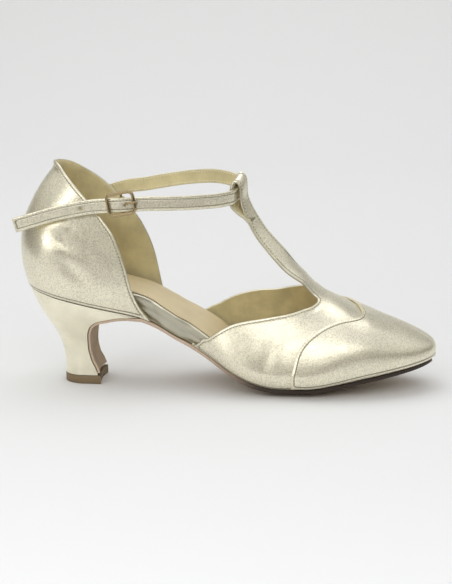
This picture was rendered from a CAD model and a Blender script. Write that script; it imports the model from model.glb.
import math

import bmesh
import bpy
import numpy as np
from bpy.props import FloatProperty, FloatVectorProperty, PointerProperty
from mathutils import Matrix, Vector
from mathutils.kdtree import KDTree


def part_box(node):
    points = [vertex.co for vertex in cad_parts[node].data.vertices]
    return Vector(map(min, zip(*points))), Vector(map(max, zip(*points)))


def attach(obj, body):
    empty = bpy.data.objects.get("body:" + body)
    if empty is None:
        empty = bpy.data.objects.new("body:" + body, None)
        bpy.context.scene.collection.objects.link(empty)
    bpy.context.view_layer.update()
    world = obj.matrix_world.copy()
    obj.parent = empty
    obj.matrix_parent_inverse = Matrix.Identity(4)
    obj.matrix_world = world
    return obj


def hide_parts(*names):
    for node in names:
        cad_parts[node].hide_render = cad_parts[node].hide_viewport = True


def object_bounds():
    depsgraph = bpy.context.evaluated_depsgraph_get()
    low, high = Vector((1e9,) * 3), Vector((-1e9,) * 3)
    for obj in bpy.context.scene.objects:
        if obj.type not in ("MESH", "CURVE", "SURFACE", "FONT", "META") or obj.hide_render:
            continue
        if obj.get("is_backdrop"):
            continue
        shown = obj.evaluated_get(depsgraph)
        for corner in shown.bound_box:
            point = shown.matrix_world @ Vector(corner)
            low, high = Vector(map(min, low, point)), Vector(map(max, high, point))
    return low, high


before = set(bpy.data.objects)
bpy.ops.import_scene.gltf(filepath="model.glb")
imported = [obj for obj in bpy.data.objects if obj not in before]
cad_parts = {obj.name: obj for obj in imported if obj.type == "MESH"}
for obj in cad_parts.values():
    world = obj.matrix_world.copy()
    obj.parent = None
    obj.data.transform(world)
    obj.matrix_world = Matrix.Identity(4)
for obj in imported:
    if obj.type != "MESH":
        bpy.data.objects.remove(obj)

bl_info = {
    "name": "Ballroom Shoe Looks",
    "version": (1, 0, 0),
    "blender": (4, 5, 0),
    "location": "View3D > Sidebar > Shoe",
    "description": "Builds the finished look of a T-strap ballroom shoe on its fixed frame",
    "category": "Object",
}

# Sizes of the shoe, in millimetres, the same as the frame's own
LENGTH = 245
BALL_WIDTH = 75
HEEL_HEIGHT = 56
TOE_SPRING = 15.5
INSTEP_HEIGHT = 66
QUARTER_TOP = 132
SEAT_HALF_WIDTH = 23.5
UPPER_WALL = 1.6
TOE_PIECE_THICKNESS = 1.0
SOLE_THICKNESS = 2.4
SHANK_THICKNESS = 1.9
HEEL_COVER_THICKNESS = 1.5
SOCK_THICKNESS = 0.8
TIP_THICKNESS = 5
GAP = 0.3
INSOLE_GAP = 0.55
FEATHER_RISE_BALL = 9
FEATHER_RISE_TOE = 4
OVERHANG_BALL = 4.2
OVERHANG_TOE = 1
STRAP_WIDTH = 8.4
STRAP_THICKNESS = 1.6
STRAP_SWELL = 0.12
HOLE_DIAMETER = 2
TAIL_HOLE_SLOT = 20.45


def mix(a, b, t):
    return a + (b - a) * t


def smooth(low, high, value):
    t = np.clip((value - low) / (high - low), 0, 1)
    return t * t * (3 - 2 * t)


def unit(v):
    return v / np.maximum(np.linalg.norm(v, axis=-1, keepdims=True), 1e-12)


class Table:
    """Rows of named columns; the first column is the key."""

    def __init__(self, names, *rows):
        self.names = names.split()
        self.rows = np.array(rows, float)

    def column(self, name):
        return self.rows[:, self.names.index(name)]

    def read(self, at, name):
        """Smooth curve over the key that never swings past its rows."""
        x, y = self.rows[:, 0], self.column(name)
        step = np.diff(x)
        rate = np.diff(y) / step
        slope = np.zeros(len(x))
        slope[0], slope[-1] = rate[0], rate[-1]
        for j in range(1, len(x) - 1):
            if rate[j - 1] * rate[j] > 0:
                a, b = 2 * step[j] + step[j - 1], step[j] + 2 * step[j - 1]
                slope[j] = (a + b) / (a / rate[j - 1] + b / rate[j])
        at = np.clip(at, x[0], x[-1])
        i = np.clip(np.searchsorted(x, at) - 1, 0, len(step) - 1)
        h, t = step[i], (at - x[i]) / step[i]
        start = (1 + 2 * t) * (1 - t) ** 2 * y[i] + t * (1 - t) ** 2 * h * slope[i]
        return start + t * t * (3 - 2 * t) * y[i + 1] - t * t * (1 - t) * h * slope[i + 1]

    def along(self, slot, name):
        """Smooth curve through every row, by row number."""
        y = self.column(name)
        last = len(y) - 1
        i = np.clip(np.floor(slot).astype(int), 0, last - 1)
        t = np.clip(slot - i, 0, 1)
        a, b, c, d = (y[np.clip(i + k, 0, last)] for k in (-1, 0, 1, 2))
        bend, twist = 2 * a - 5 * b + 4 * c - d, 3 * b - a - 3 * c + d
        return b + 0.5 * ((c - a) * t + bend * t * t + twist * t**3)


# Section tables of the shoe: "at" is a share of LENGTH from the back of the heel
SOLE_LINE = Table(
    "at heel spring",
    (0, 1.0232, 0), (0.0171, 1.0089, 0), (0.0612, 0.9696, 0), (0.102, 0.9196, 0),
    (0.1429, 0.875, 0), (0.1837, 0.8339, 0), (0.2245, 0.7964, 0), (0.2653, 0.7589, 0),
    (0.298, 0.7232, 0), (0.3371, 0.6554, 0), (0.3804, 0.5518, 0), (0.4241, 0.4589, 0),
    (0.4531, 0.3804, 0), (0.4829, 0.2857, 0), (0.5118, 0.1875, 0), (0.5408, 0.1054, 0),
    (0.5694, 0.05, 0), (0.5976, 0.0179, 0), (0.6204, 0.0027, 0), (0.6327, 0, 0), (0.6939, 0, 0),
    (0.7184, 0, 0.0323), (0.751, 0, 0.1226), (0.7959, 0, 0.271), (0.849, 0, 0.4516),
    (0.902, 0, 0.6452), (0.9551, 0, 0.8387), (1, 0, 1),
)
EDGE = Table(
    "at outer inner",
    (0.1143, 0.3133, 0.3133), (0.1633, 0.312, 0.312), (0.2041, 0.3067, 0.3067),
    (0.2327, 0.3013, 0.3013), (0.2694, 0.288, 0.2907), (0.3061, 0.28, 0.2853),
    (0.3469, 0.2827, 0.2907), (0.3796, 0.296, 0.304), (0.4245, 0.328, 0.328),
    (0.4531, 0.352, 0.3493), (0.4816, 0.38, 0.3707), (0.5102, 0.4067, 0.3947),
    (0.5408, 0.4267, 0.416), (0.5694, 0.44, 0.4307), (0.5959, 0.4453, 0.44),
    (0.6245, 0.448, 0.448), (0.6531, 0.448, 0.4507),
)
INSOLE = Table(
    "at thick",
    (0.0082, 0.1143), (0.0408, 0.1196), (0.0816, 0.1464), (0.1429, 0.1857), (0.2041, 0.2179),
    (0.2531, 0.2321), (0.3061, 0.2321), (0.3469, 0.2214), (0.3837, 0.2125), (0.4286, 0.2),
    (0.4735, 0.1893), (0.5102, 0.15), (0.551, 0.1), (0.6041, 0.0643), (0.6735, 0.0536),
    (1, 0.0464),
)
CROWN = Table(
    "at rise",
    (0.3673, 1.8788), (0.4245, 1.7121), (0.4816, 1.5606), (0.5306, 1.4167), (0.5714, 1.3),
    (0.6122, 1.203), (0.6367, 1.1455), (0.6571, 1.0955), (0.6735, 1.05), (0.6857, 1.0106),
    (0.6951, 0.9712), (0.7045, 0.9333), (0.7163, 0.897), (0.7335, 0.853), (0.7576, 0.8076),
    (0.782, 0.7621), (0.8061, 0.7152), (0.8367, 0.6667),
)
SPINE = Table(
    "at rise half turn face tip",
    (0.5567, 1.4803, 5.2, 22, 22, 0.3), (0.5486, 1.5167, 5.2, 21, 20, 0.6),
    (0.5322, 1.5606, 5.2, 19, 16, 1), (0.5155, 1.6303, 5.2, 17, 12, 1.6),
    (0.5131, 1.697, 5.2, 16, 8, 2), (0.5131, 1.7697, 5.2, 16, 6, 2.2),
    (0.5155, 1.8212, 5.2, 16, 6, 2.2), (0.5216, 1.8591, 5.2, 16, 6, 2.2),
    (0.5306, 1.8621, 5.2, 16, 6, 2.2), (0.5388, 1.8333, 5.2, 16, 6, 2.2),
    (0.5424, 1.7803, 5.2, 16, 6, 2.1), (0.5429, 1.7182, 5.2, 16, 6, 2),
    (0.5449, 1.6621, 5.2, 17, 8, 1.5), (0.5539, 1.5697, 5.4, 23, 14, 0.8),
    (0.5694, 1.4621, 5.8, 30, 21, 0), (0.5882, 1.353, 6.1, 32, 33, 0),
    (0.6261, 1.1909, 6.8, 31, 45, 0), (0.6614, 1.0591, 8, 25, 49, 0),
    (0.6902, 0.953, 9.6, 16, 49, 0),
)
HEEL = Table(
    "up back breast half",
    (0, 0.1037, 0.1902, 0.5617), (0.1, 0.1045, 0.1837, 0.5404), (0.204, 0.1029, 0.1743, 0.5277),
    (0.404, 0.0927, 0.1673, 0.5787), (0.55, 0.0784, 0.1682, 0.6809),
    (0.692, 0.0567, 0.1755, 0.817), (0.792, 0.0433, 0.1918, 0.9106),
    (0.861, 0.0359, 0.2184, 0.9574), (0.928, 0.029, 0.249, 0.983),
    (0.9565, 0.0265, 0.2694, 0.9915), (1, 0.0224, 0.2939, 1),
)
TOP_OUTER = Table(
    "at rise",
    (0.0824, 1), (0.102, 0.9894), (0.1286, 0.9432), (0.1551, 0.8924), (0.1796, 0.8409),
    (0.2045, 0.7848), (0.2237, 0.7379), (0.2384, 0.6955), (0.2482, 0.6538), (0.2588, 0.6008),
    (0.2702, 0.5303), (0.2788, 0.4682), (0.289, 0.4121), (0.302, 0.3606), (0.3224, 0.3098),
)
TOP_INNER = Table(
    "at rise",
    (0.0824, 1), (0.1139, 0.9803), (0.1461, 0.947), (0.1698, 0.9182), (0.1935, 0.8848),
    (0.2122, 0.8523), (0.2327, 0.8129), (0.2531, 0.7705), (0.2706, 0.728), (0.2837, 0.6894),
    (0.3, 0.6258), (0.3118, 0.5606), (0.3192, 0.5015), (0.3249, 0.447), (0.3314, 0.3939),
    (0.3404, 0.3409), (0.3551, 0.2879),
)
RIDGE = Table(
    "at inner",
    (0.37, 0.107), (0.57, 0.093), (0.67, 0.073), (0.755, 0.06), (0.84, 0.053),
)
ROUNDNESS = Table(
    "at side top",
    (0.37, 2, 1.25), (0.57, 1.9, 1.25), (0.67, 1.8, 1.3), (0.74, 2, 1.6), (0.8, 2.3, 2.05),
    (0.837, 2.5, 2.2),
)
VAMP_OUTER = Table(
    "angle at",
    (20, 0.6816), (21, 0.702), (22.3, 0.7155), (24, 0.7188), (27, 0.7167), (30, 0.7118),
    (34.5, 0.702), (39.6, 0.6853), (45.5, 0.6555), (50.8, 0.6098), (56.4, 0.5641),
    (64.6, 0.5176), (77.4, 0.4767), (90, 0.451), (96, 0.4367), (102, 0.4228),
)
VAMP_INNER = Table(
    "angle at",
    (8, 0.6816), (9.5, 0.6959), (12, 0.7102), (15.5, 0.7167), (20, 0.7151), (25, 0.7041),
    (29.5, 0.6914), (33.2, 0.6792), (44.3, 0.6208), (50.6, 0.5698), (57, 0.5318), (63.8, 0.5),
    (71.8, 0.471), (80, 0.4429), (90, 0.4224), (96, 0.4082), (102, 0.3959),
)
TOE_SEAM = Table(
    "angle at",
    (-102, 0.6605), (-90, 0.661), (-80, 0.6653), (-70, 0.6718), (-61, 0.6878), (-54, 0.7102),
    (-47.5, 0.7367), (-42, 0.7643), (-35.5, 0.7935), (-29, 0.8114), (-22, 0.82), (-14, 0.822),
    (-6, 0.8184), (2, 0.8122), (10, 0.802), (18, 0.7878), (24, 0.7735), (30, 0.7571),
    (36, 0.7367), (43, 0.7122), (51, 0.6878), (61, 0.6678), (71, 0.6571), (81, 0.649),
    (91, 0.6449), (102, 0.6429),
)
COUNTER = Table(
    "up lean half",
    (0, 0.0204, 1), (0.09, 0.0118, 1.08), (0.21, 0.0037, 1.115), (0.34, 0.002, 1.1),
    (0.45, 0.0057, 1.07), (0.565, 0.0151, 1.03), (0.68, 0.0294, 0.99), (0.81, 0.049, 0.94),
    (0.905, 0.0661, 0.9), (1, 0.0845, 0.86),
)
ANKLE = Table(
    "at out rise",
    (0.1714, 1.006, 0.8136), (0.2061, 1.048, 0.8356), (0.2482, 1.09, 0.8568),
    (0.2898, 1.1064, 0.8667), (0.3473, 1.0638, 0.8871), (0.4053, 0.9362, 0.9053),
    (0.4592, 0.7064, 0.9167), (0.498, 0.5106, 0.9129), (0.5224, 0.3745, 0.8985),
    (0.531, 0.2128, 0.882), (0.5265, 0, 0.867), (0.5196, -0.2213, 0.8545),
    (0.5094, -0.4511, 0.8485), (0.4759, -0.6809, 0.8424), (0.4245, -0.9362, 0.8409),
    (0.3673, -1.1191, 0.8409), (0.3204, -1.183, 0.8402), (0.2939, -1.1957, 0.8371),
    (0.2633, -1.2255, 0.8333), (0.2327, -1.2043, 0.8303), (0.1878, -1.1915, 0.8227),
    (0.1416, -1.1915, 0.8068), (0.0939, -1.1915, 0.7848), (0.0571, -1.1915, 0.7644),
    (0.009, -1.1915, 0.7371),
)

# Angles round the upper's sections, in step on both sides
OUTER_ANGLES = [0, 6, 13, 20, 21.4, 23.5, 26.5, 31, 37, 44, 51, 59, 68, 77, 86, 93, 98, 102]
INNER_ANGLES = [0, 4, 8, 9.5, 12, 15.5, 20, 25.5, 32, 39, 47, 55.5, 65, 75, 85, 92.5, 98, 102]

# Outline
SEAT_MIDDLE, SEAT_BACK = 0.1143 * LENGTH, 0.0224 * LENGTH
BALL, TOE_END = 0.6531 * LENGTH, 0.9927 * LENGTH
TOE_TURN = 0.04 * BALL_WIDTH
ROUND_SEAT = ROUND_TOE = 2.2
PIVOT = 0.837 * LENGTH
FAN_FROM = (1 - ((PIVOT - BALL) / (TOE_END - BALL)) ** ROUND_TOE) ** (1 / ROUND_TOE)
FAN_ANGLE = math.asin(FAN_FROM ** (ROUND_TOE / 2))
FAN_SIDE_ROUND, FAN_TOP_ROUND, FAN_SLOPE = 2.75, 3.0, 0.8
FLAT_FROM, FLAT_TO = 0.6327 * LENGTH, 0.6939 * LENGTH
WAIST_START = 0.3 * LENGTH
CAMBER = 0.034
# Angle past which the upper turns in under the foot, the span of that turn, and how far round
UNDER_FROM, UNDER_SPAN, UNDER_TURN = 90, 12, math.radians(80)


def pick(side, outer, inner):
    return np.where(np.asarray(side) < 0, outer, inner)


def edge_half(x, side):
    """Half width of the sole on one side of the foot."""
    at = x / LENGTH
    seat = np.clip((SEAT_MIDDLE - x) / (SEAT_MIDDLE - SEAT_BACK), 0, 1)
    back = SEAT_HALF_WIDTH * (1 - seat**ROUND_SEAT) ** (1 / ROUND_SEAT)
    toe = np.clip((x - BALL) / (TOE_END - BALL), 0, 1)
    wide = pick(side, EDGE.column("outer")[-1], EDGE.column("inner")[-1]) * BALL_WIDTH
    front = wide * (1 - toe**ROUND_TOE) ** (1 / ROUND_TOE) + np.sign(side) * TOE_TURN * toe**2
    table = pick(side, EDGE.read(at, "outer"), EDGE.read(at, "inner")) * BALL_WIDTH
    first = pick(side, EDGE.column("outer")[0], EDGE.column("inner")[0]) * BALL_WIDTH
    waist = table * mix(SEAT_HALF_WIDTH / first, 1, smooth(SEAT_MIDDLE, WAIST_START, x))
    return np.where(x < SEAT_MIDDLE, back, np.where(x > BALL, front, waist))


def sole_under(x, y):
    at = x / LENGTH
    line = SOLE_LINE.read(at, "heel") * HEEL_HEIGHT + SOLE_LINE.read(at, "spring") * TOE_SPRING
    half = np.maximum(1, edge_half(x, np.where(y < 0, -1, 1)))
    out = np.maximum(0, np.minimum(1, np.abs(y) / half) - 0.5) / 0.5
    camber = CAMBER * BALL_WIDTH * smooth(0.42, 0.57, at) * mix(1, 0.35, smooth(0.8, 1, at))
    return line + camber * out**2


def sole_top(x, y):
    return sole_under(x, y) + mix(SHANK_THICKNESS, SOLE_THICKNESS, smooth(0.42, 0.56, x / LENGTH))


def crown(x):
    return CROWN.read(x / LENGTH, "rise") * INSTEP_HEIGHT


CROWN_SLOPE = (crown(PIVOT - 4) - crown(PIVOT)) / 4


def overhang(x):
    grown = mix(OVERHANG_TOE, OVERHANG_BALL, smooth(0.34, 0.55, x / LENGTH))
    return mix(grown, OVERHANG_TOE, smooth(0.7, 0.97, x / LENGTH))


def upper_point(station, angle):
    """Outer face of the upper: place along the foot, signed angle from the ridge."""
    station, angle = np.broadcast_arrays(np.asarray(station, float), np.asarray(angle, float))
    side = np.where(angle < 0, -1, 1)
    x = np.minimum(station, PIVOT)
    fan = np.maximum(0, (station - PIVOT) / (LENGTH - PIVOT))
    turned = FAN_ANGLE * (1 - fan)
    share = np.cos(turned) ** (2 / ROUND_TOE)
    wide = pick(side, EDGE.column("outer")[-1], EDGE.column("inner")[-1]) * BALL_WIDTH
    fan_y = side * wide * np.sin(turned) ** (2 / ROUND_TOE) + TOE_TURN * share**2
    edge_x = np.where(fan > 0, BALL + (TOE_END - BALL) * share, x)
    edge_y = np.where(fan > 0, fan_y, side * edge_half(x, side))
    ridge = np.stack([x, RIDGE.read(x / LENGTH, "inner") * BALL_WIDTH], -1)
    edge = np.stack([edge_x, edge_y], -1)
    away = unit(edge - ridge)
    turn = edge + away * overhang(edge_x)[..., None]
    low = sole_top(edge_x, edge_y) + GAP
    high = low + mix(FEATHER_RISE_BALL, FEATHER_RISE_TOE, smooth(0.8, 1, edge_x / LENGTH))
    reach = np.linalg.norm(turn - ridge, axis=-1)
    round_side = mix(ROUNDNESS.read(x / LENGTH, "side"), FAN_SIDE_ROUND, smooth(0, 1, fan))
    round_top = mix(ROUNDNESS.read(x / LENGTH, "top"), FAN_TOP_ROUND, smooth(0, 1, fan))
    lift = np.radians(np.minimum(UNDER_FROM, np.abs(angle)))
    out = np.sin(lift) ** (2 / round_side)
    up = np.maximum(0, np.cos(lift)) ** (2 / round_top)
    slope = CROWN_SLOPE * mix(1, FAN_SLOPE, smooth(0, 1, fan))
    top = crown(x) - np.where(fan > 0, slope * out * reach * away[..., 0], 0)
    plan = mix(ridge, turn, out[..., None])
    z = high + (top - high) * up
    under = np.clip((np.abs(angle) - UNDER_FROM) / UNDER_SPAN, 0, None) * UNDER_TURN
    tuck = ((1 - np.cos(under)) / (1 - math.cos(UNDER_TURN)))[..., None]
    below = np.abs(angle) > UNDER_FROM
    plan = np.where(below[..., None], mix(turn, edge, tuck), plan)
    z = np.where(below, mix(high, low, np.sin(under) / math.sin(UNDER_TURN)), z)
    return np.concatenate([plan, z[..., None]], -1)


STRAP_OUTER, STRAP_INNER = -20, 8
LAST_ROW = len(SPINE.rows) - 1


def ribbon_point(slot, across):
    """T-strap: place along its spine, and across it from -1 to 1."""
    value = lambda name: SPINE.along(slot, name)
    turn, face = np.radians(value("turn")), np.radians(value("face"))
    lift = across * value("half") * np.sin(turn) - 0.5 * across**2
    return np.stack([
        value("at") * LENGTH + np.cos(face) * lift,
        across * value("half") * np.cos(turn),
        value("rise") * INSTEP_HEIGHT + np.sin(face) * lift + across * value("tip"),
    ], -1)


def strap_base(slot):
    return SPINE.along(slot, "at") * LENGTH - 1.5


def panel_point(slot, angle):
    across = (angle - STRAP_OUTER) / (STRAP_INNER - STRAP_OUTER) * 2 - 1
    blend = smooth(LAST_ROW - 2, LAST_ROW, slot)[..., None]
    return mix(ribbon_point(slot, across), upper_point(strap_base(slot), angle), blend)


def topline_station(angle):
    """Where the vamp's topline lies for each angle."""
    outer = VAMP_OUTER.read(-angle, "at") * LENGTH
    inner = VAMP_INNER.read(angle, "at") * LENGTH
    base = strap_base(np.array(float(LAST_ROW)))
    on_strap = (angle >= STRAP_OUTER) & (angle <= STRAP_INNER)
    return np.where(on_strap, base, np.where(angle < 0, outer, inner))


def seam_station(angle):
    return TOE_SEAM.read(angle, "at") * LENGTH


COLUMN_SPLIT = 3


def columns():
    """Angles of the upper's columns with their partners at the tip of the toe."""
    t = np.linspace(0, 17, 17 * COLUMN_SPLIT + 1)
    outer, inner = (np.interp(t, range(18), a) for a in (OUTER_ANGLES, INNER_ANGLES))
    angle = np.concatenate([-outer[::-1], inner[1:]])
    tip = np.concatenate([-outer[::-1], outer[1:]])
    return angle, tip


def upper_sheet(angle, tip, stations):
    """Grid of points, a column of stations for each angle."""
    fan = np.maximum(0, (stations - PIVOT) / (LENGTH - PIVOT))
    return upper_point(stations, mix(angle[:, None], tip[:, None], fan))


def steps(first, last, count):
    return first[:, None] + (last - first)[:, None] * np.linspace(0, 1, count + 1)


def toe_stations(angle):
    pivot = np.full(len(angle), PIVOT)
    back = steps(seam_station(angle), pivot, 14)
    front = steps(pivot, np.full(len(angle), float(LENGTH)), 26)
    return np.concatenate([back, front[:, 1:]], 1)


# Heel part
ROUND_TOP, TOP_MIDDLE = 2, 26


def seat_low(x):
    return sole_top(x, np.zeros_like(x)) + GAP


QUARTER_RISE = QUARTER_TOP - float(seat_low(np.array(SEAT_BACK)))


def cap_length(up):
    return mix(SEAT_MIDDLE - SEAT_BACK, TOP_MIDDLE, up)


def back_at(up):
    return COUNTER.read(up, "lean") * LENGTH


def counter_place(turn, up):
    cap = cap_length(up)
    return back_at(up) + np.where(turn < 1, cap * (1 - np.cos(turn * math.pi / 2)), cap * turn)


def counter_turn(x, up):
    share = (x - back_at(up)) / cap_length(up)
    round_part = np.arccos(np.clip(1 - share, -1, 1)) * 2 / math.pi
    return np.where(share < 1, round_part, share)


def counter_half(x, up, side):
    share = np.clip(1 - (x - back_at(up)) / cap_length(up), 0, 1)
    power = mix(ROUND_SEAT, ROUND_TOP, up)
    cap = (1 - share**power) ** (1 / power)
    waist = np.where(x > SEAT_MIDDLE, edge_half(x, side) / SEAT_HALF_WIDTH, 1)
    return COUNTER.read(up, "half") * SEAT_HALF_WIDTH * cap * mix(waist, 1, 0.8 * up)


def counter_point(turn, up, side):
    x = counter_place(turn, up)
    return np.stack([x, side * counter_half(x, up, side), seat_low(x) + up * QUARTER_RISE], -1)


def quarter_side(side, count, rows):
    """Grid of one side of the heel part, from its front foot round to the middle of the back."""
    table = TOP_OUTER if side < 0 else TOP_INNER
    last = len(table.rows) - 1
    t = np.linspace(0, 1, count + 1)
    x = table.along(last * (1 - t), "at") * LENGTH
    z = table.along(last * (1 - t), "rise") * QUARTER_TOP
    up = np.where(t == 0, 0, np.maximum(0, (z - seat_low(x)) / QUARTER_RISE))
    top = np.where(t == 1, 0, counter_turn(x, up))
    tip = counter_turn(table.column("at")[-1] * LENGTH, 0)
    low = tip * (1 - t**1.15)
    q = np.linspace(0, 1, rows + 1)[None, :]
    return counter_point(mix(low[:, None], top[:, None], q), up[:, None] * q, side)


# Heel, sole and insole
HEEL_LOW = TIP_THICKNESS + GAP
HEEL_HOLLOW = 1.4


def heel_point(up, along, across):
    up, along, across = np.broadcast_arrays(*(np.asarray(v, float) for v in (up, along, across)))
    back, front = HEEL.read(up, "back") * LENGTH, HEEL.read(up, "breast") * LENGTH
    half = HEEL.read(up, "half") * SEAT_HALF_WIDTH
    hollow = HEEL_HOLLOW * (1 - across**2) * along**2 * (1 - smooth(0.6, 0.9, up))
    x = mix(back, front, 1 - np.cos(along * math.pi / 2))
    reach = np.minimum(0.95 * (front - back), 1.013 * half)
    cap = (1 - np.clip(1 - (x - back) / reach, 0, 1) ** ROUND_SEAT) ** (1 / ROUND_SEAT)
    side = np.where(across < 0, -1, 1)
    waist = np.where(x > SEAT_MIDDLE, edge_half(x, side) / SEAT_HALF_WIDTH, 1)
    y = across * half * cap * mix(1, waist, up**4)
    return np.stack([x - hollow, y, mix(HEEL_LOW, sole_top(x, 0 * x), up)], -1)


def cover_point(up, across, amount):
    """Sole leather running down the front of the heel."""
    width = heel_point(up, 1, across)
    inset = 1 - 0.8 / np.maximum(8, np.abs(heel_point(up, 1, 1)[..., 1]))
    above = heel_point(np.minimum(1, up + 0.01), 1, across)
    below = heel_point(np.maximum(0, up - 0.01), 1, across)
    along = unit((above - below)[..., [0, 2]])
    return np.stack([
        width[..., 0] + along[..., 1] * amount,
        width[..., 1] * inset,
        width[..., 2] - along[..., 0] * amount,
    ], -1)


INSOLE_MARGIN = 0.4


def insole_half(x, side):
    at = x / LENGTH
    start, end = pick(side, 0.325, 0.352), pick(side, 0.418, 0.393)
    open_part = smooth(start, start + 0.03, at) * (1 - smooth(end - 0.03, end, at))
    inset = mix(UPPER_WALL + GAP + INSOLE_MARGIN, 0.3, open_part)
    return np.maximum(0, edge_half(x, side) - inset)


INSOLE_BACK = SEAT_BACK + UPPER_WALL + GAP + INSOLE_MARGIN
INSOLE_FRONT = TOE_END - UPPER_WALL - GAP - INSOLE_MARGIN - 1
END_ROUND = 8


def insole_top(x, y):
    return sole_top(x, y) + INSOLE_GAP + INSOLE.read(x / LENGTH, "thick") * HEEL_HEIGHT


def end_shrink(x):
    back = np.clip((x - INSOLE_BACK) / END_ROUND, 0, 1)
    front = np.clip((INSOLE_FRONT - x) / END_ROUND, 0, 1)
    return np.sqrt(1 - (1 - back) ** 2) * np.sqrt(1 - (1 - front) ** 2)


def ankle_middle(slot):
    return np.stack([
        ANKLE.along(slot, "at") * LENGTH,
        ANKLE.along(slot, "out") * SEAT_HALF_WIDTH,
        ANKLE.along(slot, "rise") * QUARTER_TOP,
    ], -1)


def ankle_frame(slot):
    middle = ankle_middle(slot)
    along = unit(ankle_middle(slot + 0.05) - ankle_middle(slot - 0.05))
    up = unit(np.array([0, 0, 1.0]) - along * along[..., 2:3])
    return middle, along, up, np.cross(along, up)


# The shoe's place in the frame, from its heel tip
_low, _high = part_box("heel_tip")
SHIFT = np.array([
    _low.x * 1000 - HEEL.column("back")[0] * LENGTH,
    (_low.y + _high.y) * 500,
    0,
])


def place(points):
    """Millimetres from the back of the heel to the frame's metres."""
    return (np.asarray(points, float) + SHIFT) / 1000


# Mesh making
def nearest(points):
    """Search tree over points."""
    tree = KDTree(len(points))
    for number, point in enumerate(points):
        tree.insert(point, number)
    tree.balance()
    return tree


def added(name, data):
    """Object in the scene that shows some data."""
    thing = bpy.data.objects.new(name, data)
    bpy.context.scene.collection.objects.link(thing)
    return thing


def grids(sheets, values):
    """Each sheet with its part of the values, as a grid like the sheet's own."""
    start = 0
    for sheet in sheets:
        rows, cols = sheet.shape[:2]
        part = values[start:start + rows * cols]
        yield sheet, part.reshape(rows, cols, *part.shape[1:])
        start += rows * cols


# Points that fall on the same step, of this many to a millimetre, are one
WELD_STEPS = 2000
# Places along an edge where its distance from other points is measured
EDGE_SAMPLES = (0, 0.25, 0.5, 0.75)
SHARP_ANGLE = 50


def grid_corners(grid):
    return [grid[:-1, :-1], grid[1:, :-1], grid[1:, 1:], grid[:-1, 1:]]


def offset_sheets(sheets, offsets, relief=None):
    """Grids of points turned into stacks of layers along the sheet's own normals."""
    points = np.concatenate([sheet.reshape(-1, 3) for sheet in sheets])
    keys = np.round(points * WELD_STEPS).astype(np.int64)
    _, number = np.unique(keys, axis=0, return_inverse=True)
    number = number.ravel()
    sums = np.zeros((number.max() + 1, 3))
    for sheet, grid in grids(sheets, number):
        corners, numbers = grid_corners(sheet), grid_corners(grid)
        for i, j, k in ((0, 1, 2), (0, 2, 3)):
            across, along = corners[k] - corners[i], corners[j] - corners[i]
            normal = np.cross(across, along).reshape(-1, 3)
            for n in (i, j, k):
                np.add.at(sums, numbers[n].ravel(), normal)
    normals = unit(sums)[number]
    if relief is not None:
        points = points + normals * relief(points)[:, None]
    stacks = points[:, None] + normals[:, None] * np.asarray(offsets, float)[None, :, None]
    return [grid for _, grid in grids(sheets, stacks)]


def open_edges(faces):
    """Directed edges that only one face has, with that face."""
    edges = {}
    for number, face in enumerate(faces):
        for a, b in zip(face, face[1:] + face[:1]):
            if (b, a) in edges:
                del edges[(b, a)]
            else:
                edges[(a, b)] = number
    return edges


def closed_solid(name, sheets, finishes, insets=()):
    """Closed mesh from sheets of stacked layers: the first and last layers are its faces and the
    layers between shape its edge. The finishes are for the face, the back and the edge."""
    layers = sheets[0].shape[2]
    stacks = np.concatenate([sheet.reshape(-1, layers, 3) for sheet in sheets])
    keys = np.round(stacks[:, 0] * WELD_STEPS).astype(np.int64)
    _, kept, number = np.unique(keys, axis=0, return_index=True, return_inverse=True)
    number = number.ravel()
    stacks = stacks[kept].copy()
    faces = []
    for _, grid in grids(sheets, number):
        quads = np.stack(grid_corners(grid), -1)
        faces += [list(dict.fromkeys(q)) for q in quads.reshape(-1, 4).tolist()]
    faces = [f for f in faces if len(f) > 2]
    edges = open_edges(faces)
    out = np.zeros((len(stacks), 3))
    samples = []
    for (a, b), face in edges.items():
        p = stacks[faces[face][:3], 0]
        away = unit(np.cross(stacks[b, 0] - stacks[a, 0], np.cross(p[1] - p[0], p[2] - p[0])))
        out[a] += away
        out[b] += away
        samples += [mix(stacks[a, 0], stacks[b, 0], t) for t in EDGE_SAMPLES]
    out = unit(out)
    rims = sorted({stack for edge in edges for stack in edge})
    for layer, inset in enumerate(insets):
        stacks[rims, layer] -= out[rims] * inset
    count, row = len(stacks), {stack: i for i, stack in enumerate(rims)}

    def at(stack, layer):
        if layer == 0:
            return stack
        if layer == layers - 1:
            return count + stack
        return 2 * count + (layer - 1) * len(rims) + row[stack]

    middle = [stacks[rims, layer] for layer in range(1, layers - 1)]
    points = np.concatenate([stacks[:, 0], stacks[:, -1], *middle])
    whole = [list(f) for f in faces] + [[count + v for v in reversed(f)] for f in faces]
    slots = [0] * len(faces) + [1] * len(faces)
    for a, b in edges:
        for layer in range(layers - 1):
            whole.append([at(b, layer), at(a, layer), at(a, layer + 1), at(b, layer + 1)])
            slots.append(2)
    volume = sum(
        np.dot(points[f[0]], np.cross(points[f[i]], points[f[i + 1]]))
        for f in whole
        for i in range(1, len(f) - 1)
    )
    if volume < 0:
        whole = [f[::-1] for f in whole]
    edge = nearest(samples)
    rim = [edge.find(p)[2] for p in points]
    return solid_object(name, points, whole, finishes, slots, rim)


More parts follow.
